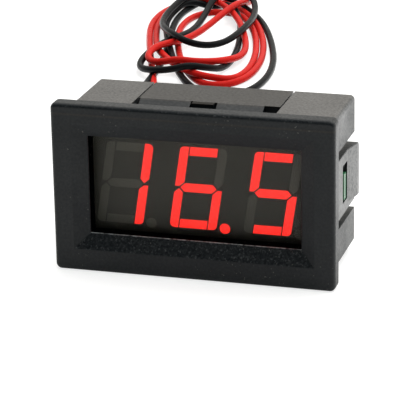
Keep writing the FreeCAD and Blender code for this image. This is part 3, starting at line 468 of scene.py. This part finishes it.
def dress_housing():
    """Textured black ABS with a smooth flap and dust; painted light on top, painted glints, a painted
    highlight on the window's lip and painted shade on its walls.
    """
    finish = Finish("black_abs", (0.0085, 0.0095, 0.0105), 0.45)
    low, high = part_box("housing")
    upward = finish.facing("Z")
    on_top = finish.band("Z", high.z - TOP_FROM, high.z - TOP_TO, 0.08 * MM)
    flap = finish.times(finish.band("X", *FLAP_SIDES), finish.band("Y", FLAP_FRONT, high.y + BEYOND))
    smooth = finish.times(flap, on_top)
    textured = finish.work_out("SUBTRACT", 1.0, smooth)
    webs = finish.times(finish.band("X", *FLAP_SIDES), finish.band("Y", WEB_FRONT, WEB_REAR))
    tongue = finish.times(webs, finish.band("X", *TONGUE_SIDES))
    lower_slope = finish.times(finish.ramp(upward, 0.3, 0.45), finish.ramp(upward, 0.55, 0.7, 1.0, 0.0))
    opening = finish.times(finish.band("X", -WINDOW_HALF, WINDOW_HALF),
                           finish.band("Z", low.z + WINDOW_INSET, high.z - WINDOW_INSET))
    shade_in_window = finish.times(finish.band("Y", low.y + LIP_TO, low.y + WINDOW_TO), opening)
    lip = finish.times(finish.band("Y", low.y + LIP_FROM, low.y + LIP_TO),
                       finish.ramp(upward, 0.55, 0.75), opening)
    rim = finish.times(finish.band("Y", low.y - BEYOND, low.y + RIM_DEPTH),
                       finish.band("Z", high.z - RIM_HEIGHT, high.z + BEYOND),
                       finish.ramp(upward, 0.1, 0.4))
    top = finish.times(finish.band("Z", high.z - TOP_EDGES_FROM, high.z - TOP_TO),
                       finish.ramp(upward, 0.2, 0.5), textured)
    side = finish.ramp(finish.work_out("ABSOLUTE", finish.facing("X")), 0.5, 0.8)
    arm = finish.times(finish.band("Y", ARM_FRONT, high.y + BEYOND), finish.band("Z", *ARM_HEIGHTS), side)

    specks = finish.ramp(finish.noise(0.45 * MM, 1.0), 0.71, 0.76)
    dusty = finish.times(specks, finish.ramp(finish.noise(9 * MM), 0.45, 0.62), textured)
    glints = finish.times(finish.ramp(finish.noise(0.38 * MM), 0.56, 0.72), lower_slope)
    bright = finish.times(finish.ramp(finish.noise(0.6 * MM, 3.0), 0.3, 0.6), lip)
    # Painted light: the upper side gets a lighter colour, which also carries a warm tint.
    colour = finish.mix(on_top, PLASTIC, LIT_WARM_PLASTIC_ON_TOP)
    # Painted glints: light specks of reflection on the lower slope.
    colour = finish.mix(glints, colour, GLINTS)
    # Painted highlight: a pale line along the window's lower lip.
    colour = finish.mix(bright, colour, LIP_HIGHLIGHT)
    # Painted shade: the window's walls are made near black, and below they also lose their sheen.
    colour = finish.mix(shade_in_window, colour, SHADE_IN_WINDOW)
    colour = finish.mix(dusty, colour, DUST)
    roughness = finish.plus(finish.wander(6 * MM, 0.40, 0.52, 3.0), finish.times(smooth, -0.29))

    sheen = finish.plus(finish.by_mask(arm, PLAIN_SHEEN, ARM_SHEEN), finish.times(top, TOP_ADDED),
                        finish.times(smooth, FLAP_ADDED), finish.times(side, SIDE_ADDED),
                        finish.times(rim, RIM_ADDED))
    sheen = finish.times(sheen, finish.by_mask(shade_in_window, 1.0, 0.0), finish.by_mask(webs, 1.0, WEB_SHARE),
                         finish.by_mask(tongue, 1.0, TONGUE_SHARE))
    coarse = finish.work_out("MAXIMUM", finish.ramp(finish.facing("Y"), -0.6, -0.3, 0.3, 1.0), lower_slope)
    mottle = finish.ramp(finish.noise(0.42 * MM, 4.0), 0.36, 0.64, -MOTTLING, MOTTLING)
    sheen = finish.times(sheen, finish.plus(finish.times(mottle, coarse), 1.0))
    finish.set(Base_Color=colour, Roughness=roughness, Specular_IOR_Level=sheen)
    finish.bump(finish.times(finish.noise(0.28 * MM, 3.0), coarse, textured), 0.045 * MM, 0.16 * MM)
    finish.dress("housing")


FILTER_ALPHA = 0.20
LIT_STRENGTH = 1.9


def dress_display():
    """A smoked window, the dark face of the display's white case, and its segments."""
    window = Finish("smoked_filter", (0.085, 0.083, 0.066), 0.16, ior=1.3)
    window.set(Alpha=FILTER_ALPHA, Roughness=window.wander(3 * MM, 0.20, 0.28))
    window.dress("display_filter")

    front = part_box("display_case")[0].y
    case = Finish("display_shell", (0.8, 0.79, 0.76), 0.5)
    face = case.ramp(case.axis("Y"), front + 0.05 * MM, front + 0.15 * MM, 1.0, 0.0)
    mottle = case.ramp(case.noise(0.6 * MM, 3.0), 0.35, 0.65)
    ink = case.mix(mottle, (0.028, 0.026, 0.021), (0.036, 0.033, 0.027))
    case.set(Base_Color=case.mix(face, (0.80, 0.79, 0.76), ink))
    case.bump(case.noise(0.2 * MM), 0.006 * MM, 0.08 * MM)
    case.dress("display_case")

    off = Finish("dark_segment", (0.075, 0.068, 0.058), 0.4)
    off.set(Base_Color=off.tones(0.5 * MM, (0.100, 0.092, 0.076), (0.130, 0.118, 0.100), 3.0))
    off.dress("digit_1_dark", "digit_2_dark", "digit_3_dark")

    lit = Finish("lit_segment", (0.35, 0.02, 0.015), 0.35)
    lit.set(Emission_Color=lit.tones(1.2 * MM, (0.86, 0.010, 0.006), (1.0, 0.018, 0.012), 3.0),
            Emission_Strength=LIT_STRENGTH)
    lit.dress("digit_1_lit", "digit_2_lit", "digit_3_lit")

    resin = Finish("display_resin", (0.55, 0.5, 0.4), 0.3)
    resin.set(Base_Color=resin.tones(1.5 * MM, (0.50, 0.46, 0.37), (0.62, 0.57, 0.47), 4.0))
    resin.bump(resin.noise(2.5 * MM), 0.05 * MM)
    resin.dress("display_potting")


def dress_board():
    """Green solder mask over a grid of tracks, and bare glass fibre at the board's cut edges."""
    board = Finish("green_board", (0.02, 0.14, 0.045), 0.35)
    mask = board.tones(1.2 * MM, (0.012, 0.110, 0.034), (0.024, 0.165, 0.055), 4.0)
    track = board.add("ShaderNodeTexBrick")
    track.inputs["Scale"].default_value = 1 / (14 * MM)
    track.inputs["Mortar Size"].default_value = 0.012
    turned = board.add("ShaderNodeVectorRotate", rotation_type="X_AXIS")
    turned.inputs["Angle"].default_value = math.radians(90)
    board.join(board.place, turned.inputs["Vector"])
    board.join(turned.outputs[0], track.inputs["Vector"])
    masked = board.mix(track.outputs["Fac"], mask, (0.020, 0.165, 0.052))
    edge = board.ramp(board.work_out("ABSOLUTE", board.facing("Y")), 0.4, 0.6, 1.0, 0.0)
    fibre = board.mix(board.noise(0.25 * MM, 2.0, (1, 8, 1)), (0.013, 0.11, 0.046), (0.048, 0.21, 0.095))
    board.set(Base_Color=board.mix(edge, masked, fibre), Specular_IOR_Level=0.3)
    board.bump(track.outputs["Fac"], 0.015 * MM, 0.05 * MM)
    board.dress("circuit_board")


def dress_metal():
    """Tinned legs and strands, solder and the trimmer's brass rotor."""
    tin = Finish("tinned_metal", (0.72, 0.71, 0.68), 0.3, metallic=1.0)
    tin.set(Roughness=tin.wander(0.4 * MM, 0.22, 0.42, 3.0))
    tin.bump(tin.noise(0.3 * MM), 0.01 * MM)
    tin.dress("controller_legs", "power_tabs", "chip_terminals", "display_pins")

    strands = Finish("tinned_strands", (0.46, 0.44, 0.41), 0.3, metallic=1.0)
    twist = strands.add("ShaderNodeTexWave")
    twist.inputs["Scale"].default_value = 1 / (0.9 * MM)
    twist.inputs["Distortion"].default_value = 2.0
    strands.join(strands.place, twist.inputs["Vector"])
    strands.bump(twist.outputs["Fac"], 0.08 * MM)
    strands.set(Roughness=strands.wander(0.5 * MM, 0.24, 0.40))
    strands.dress("red_lead_tip", "black_lead_tip")

    solder = Finish("solder", (0.70, 0.70, 0.69), 0.22, metallic=1.0)
    solder.set(Roughness=solder.wander(0.7 * MM, 0.15, 0.40, 3.0))
    solder.bump(solder.noise(0.9 * MM), 0.05 * MM, 0.2 * MM)
    solder.dress("pin_solder", "red_lead_solder", "black_lead_solder")

    brass = Finish("trimmer_brass", (0.78, 0.57, 0.25), 0.28, metallic=1.0)
    brass.set(Roughness=brass.wander(0.5 * MM, 0.20, 0.38, 3.0))
    brass.bump(brass.noise(0.15 * MM), 0.008 * MM, 0.05 * MM)
    brass.dress("trimmer_rotor")


def dress_components():
    """Packages, capacitors, resistors and the trimmer's base on the board's rear."""
    package = Finish("package_resin", (0.016, 0.016, 0.017), 0.55)
    package.set(Base_Color=package.tones(0.15 * MM, (0.0085, 0.0095, 0.0105), (0.024, 0.024, 0.025)))
    package.bump(package.noise(0.12 * MM, 3.0), 0.012 * MM, 0.06 * MM)
    package.dress("microcontroller", "voltage_regulator", "protection_diode")

    tantalum = Finish("capacitor_resin", (0.80, 0.42, 0.07), 0.4)
    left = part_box("input_capacitor")[0].x
    stripe = tantalum.ramp(tantalum.axis("X"), left + 0.75 * MM, left + 0.80 * MM, 1.0, 0.0)
    body = tantalum.tones(0.8 * MM, (0.76, 0.38, 0.06), (0.84, 0.46, 0.09))
    tantalum.set(Base_Color=tantalum.mix(stripe, body, (0.30, 0.10, 0.03)))
    tantalum.bump(tantalum.noise(0.2 * MM), 0.008 * MM, 0.06 * MM)
    tantalum.dress("input_capacitor")

    glaze = Finish("resistor_glaze", (0.02, 0.02, 0.022), 0.25)
    glaze.set(Roughness=glaze.wander(0.4 * MM, 0.18, 0.34))
    glaze.bump(glaze.noise(0.5 * MM), 0.01 * MM, 0.05 * MM)
    glaze.dress("chip_resistors")

    ceramic = Finish("capacitor_ceramic", (0.42, 0.27, 0.15), 0.5)
    ceramic.set(Base_Color=ceramic.tones(0.3 * MM, (0.38, 0.24, 0.13), (0.47, 0.31, 0.18), 3.0))
    ceramic.bump(ceramic.noise(0.15 * MM), 0.01 * MM, 0.05 * MM)
    ceramic.dress("ceramic_capacitors")

    base = Finish("trimmer_plastic", (0.62, 0.60, 0.55), 0.45)
    base.set(Base_Color=base.tones(0.8 * MM, (0.58, 0.56, 0.51), (0.67, 0.65, 0.60), 3.0))
    base.bump(base.noise(0.2 * MM), 0.01 * MM, 0.08 * MM)
    base.dress("trimmer_base")


def dress_wires():
    """Soft insulation with little gloss."""
    for name, dull, bright in (("red", (0.48, 0.012, 0.010), (0.60, 0.018, 0.013)),
                               ("black", (0.005, 0.006, 0.007), (0.009, 0.010, 0.011))):
        skin = Finish(name + "_insulation", dull, 0.36, ior=1.2)
        skin.set(Base_Color=skin.tones(4 * MM, dull, bright, 3.0),
                 Roughness=skin.wander(1.2 * MM, 0.26, 0.40, 3.0), Specular_IOR_Level=0.15)
        skin.bump(skin.noise(0.5 * MM), 0.02 * MM)
        skin.dress(name + "_wire")


# Light: a white tent, darker where the camera stands, with one soft lamp above

# How bright the tent is in front, low, high, left and right, as shares that are multiplied, and
# between which parts of a direction it changes.
TENT_FRONT = 0.04
TENT_LOW = 0.8
TENT_HIGH = 2.2
TENT_LEFT = 0.85
TENT_RIGHT = 1.2
FRONT_TO_BACK = (-0.7, 0.5)
LOW_TO_HIGH = (0.15, 0.75)
LEFT_TO_RIGHT = (-0.6, 0.6)
COOL_WHITE = (0.90, 1.0, 1.0)
WARM_WHITE = (1.0, 0.975, 0.92)
LAMP_PLACE = Vector((0.15, 0.10, 0.75))
LAMP_AIM = Vector((0, 0, 0.01))
LAMP_SIZE = 0.6
LAMP_POWER = 3.0


def light_world():
    """White overhead, grey at the horizon behind, dark in front; the camera sees plain white."""
    world = bpy.data.worlds.new("tent")
    bpy.context.scene.world = world
    world.use_nodes = True
    world.node_tree.nodes.clear()
    sky = Tree(world.node_tree)
    towards = sky.add("ShaderNodeTexCoord").outputs["Generated"]
    soft = {"interpolation_type": "SMOOTHSTEP"}
    behind = sky.ramp(sky.part(towards, "Y"), *FRONT_TO_BACK, TENT_FRONT, 1.0, **soft)
    above = sky.ramp(sky.part(towards, "Z"), *LOW_TO_HIGH, TENT_LOW, TENT_HIGH, **soft)
    aside = sky.ramp(sky.part(towards, "X"), *LEFT_TO_RIGHT, TENT_LEFT, TENT_RIGHT, **soft)
    tent = sky.add("ShaderNodeBackground")
    sky.join(sky.mix(behind, COOL_WHITE, WARM_WHITE), tent.inputs["Color"])
    sky.join(sky.times(behind, above, aside), tent.inputs["Strength"])
    white = sky.add("ShaderNodeBackground")
    white.inputs["Color"].default_value = (1, 1, 1, 1)
    pick = sky.add("ShaderNodeMixShader")
    sky.join(sky.add("ShaderNodeLightPath").outputs["Is Camera Ray"], pick.inputs[0])
    sky.join(tent.outputs[0], pick.inputs[1])
    sky.join(white.outputs[0], pick.inputs[2])
    sky.join(pick.outputs[0], sky.add("ShaderNodeOutputWorld").inputs["Surface"])


def add_lamp():
    lamp = bpy.data.objects.new("top_lamp", bpy.data.lights.new("top_lamp", "AREA"))
    lamp.data.shape = "DISK"
    lamp.data.size = LAMP_SIZE
    lamp.data.energy = LAMP_POWER
    lamp.location = LAMP_PLACE
    lamp.rotation_euler = (LAMP_AIM - LAMP_PLACE).to_track_quat("-Z", "Y").to_euler()
    lamp.visible_camera = False
    bpy.context.scene.collection.objects.link(lamp)


# Floor: the tone of its paper, its tone and glow to the camera, and its glow in reflections, which
# starts in front of the meter and is full behind it

FLOOR_HALF = 3.0
FLOOR_PAPER = 0.75
FLOOR_SEEN = 0.42
FLOOR_GLOW = 0.70
FLOOR_MIRRORED = 1.15
MIRRORED_FROM = -20 * MM
MIRRORED_FULL = 40 * MM


def add_floor():
    """A plain pale floor that looks white to the camera and keeps a soft shadow."""
    half = FLOOR_HALF
    corners = [(-half, -half, 0), (half, -half, 0), (half, half, 0), (-half, half, 0)]
    mesh = bpy.data.meshes.new("floor")
    mesh.from_pydata(corners, [], [(0, 1, 2, 3)])
    floor = bpy.data.objects.new("floor", mesh)
    bpy.context.scene.collection.objects.link(floor)
    material = bpy.data.materials.new("floor")
    material.use_nodes = True
    material.node_tree.nodes.clear()
    tree = Tree(material.node_tree)
    path = tree.add("ShaderNodeLightPath")
    seen = path.outputs["Is Camera Ray"]
    depth = tree.part(tree.add("ShaderNodeTexCoord").outputs["Object"], "Y")
    mirrored = tree.times(tree.ramp(depth, MIRRORED_FROM, MIRRORED_FULL, 0.0, FLOOR_MIRRORED),
                          path.outputs["Is Glossy Ray"])
    paper = tree.add("ShaderNodeBsdfDiffuse")
    tree.join(tree.mix(seen, (FLOOR_PAPER,) * 3, (FLOOR_SEEN,) * 3), paper.inputs["Color"])
    glow = tree.add("ShaderNodeEmission")
    tree.join(tree.plus(tree.times(seen, FLOOR_GLOW), mirrored), glow.inputs["Strength"])
    both = tree.add("ShaderNodeAddShader")
    tree.join(paper.outputs[0], both.inputs[0])
    tree.join(glow.outputs[0], both.inputs[1])
    tree.join(both.outputs[0], tree.add("ShaderNodeOutputMaterial").inputs["Surface"])
    mesh.materials.append(material)


add_camera()
add_wires()
dress_housing()
dress_display()
dress_board()
dress_metal()
dress_components()
dress_wires()
light_world()
add_lamp()
add_floor()

bpy.context.scene.view_settings.view_transform = "Standard"
bpy.context.view_layer.update()
